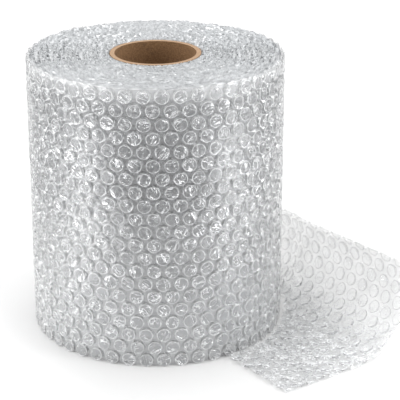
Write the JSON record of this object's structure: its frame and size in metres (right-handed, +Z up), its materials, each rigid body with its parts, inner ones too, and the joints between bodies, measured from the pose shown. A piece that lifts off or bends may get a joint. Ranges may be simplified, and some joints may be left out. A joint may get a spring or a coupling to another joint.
{
  "type": "bubble wrap roll",
  "caption": "Upright roll of clear bubble film wound on a board core tube, with its free end let off at the side and lying out in front.",
  "frame": {"origin": "centre of the core tube's bore, in the plane that the roll stands on", "axes": "+Z up the roll's axis, -Y towards the front of the roll, +X to the side where the free end comes round"},
  "size_m": [0.3588, 0.2942, 0.264],
  "materials": {
    "clear_film": "clear and glossy",
    "brown_board": "matte"
  },
  "bodies": {
    "root": {"bubble_film": "clear_film", "core_tube": "brown_board"}
  },
  "joints": []
}
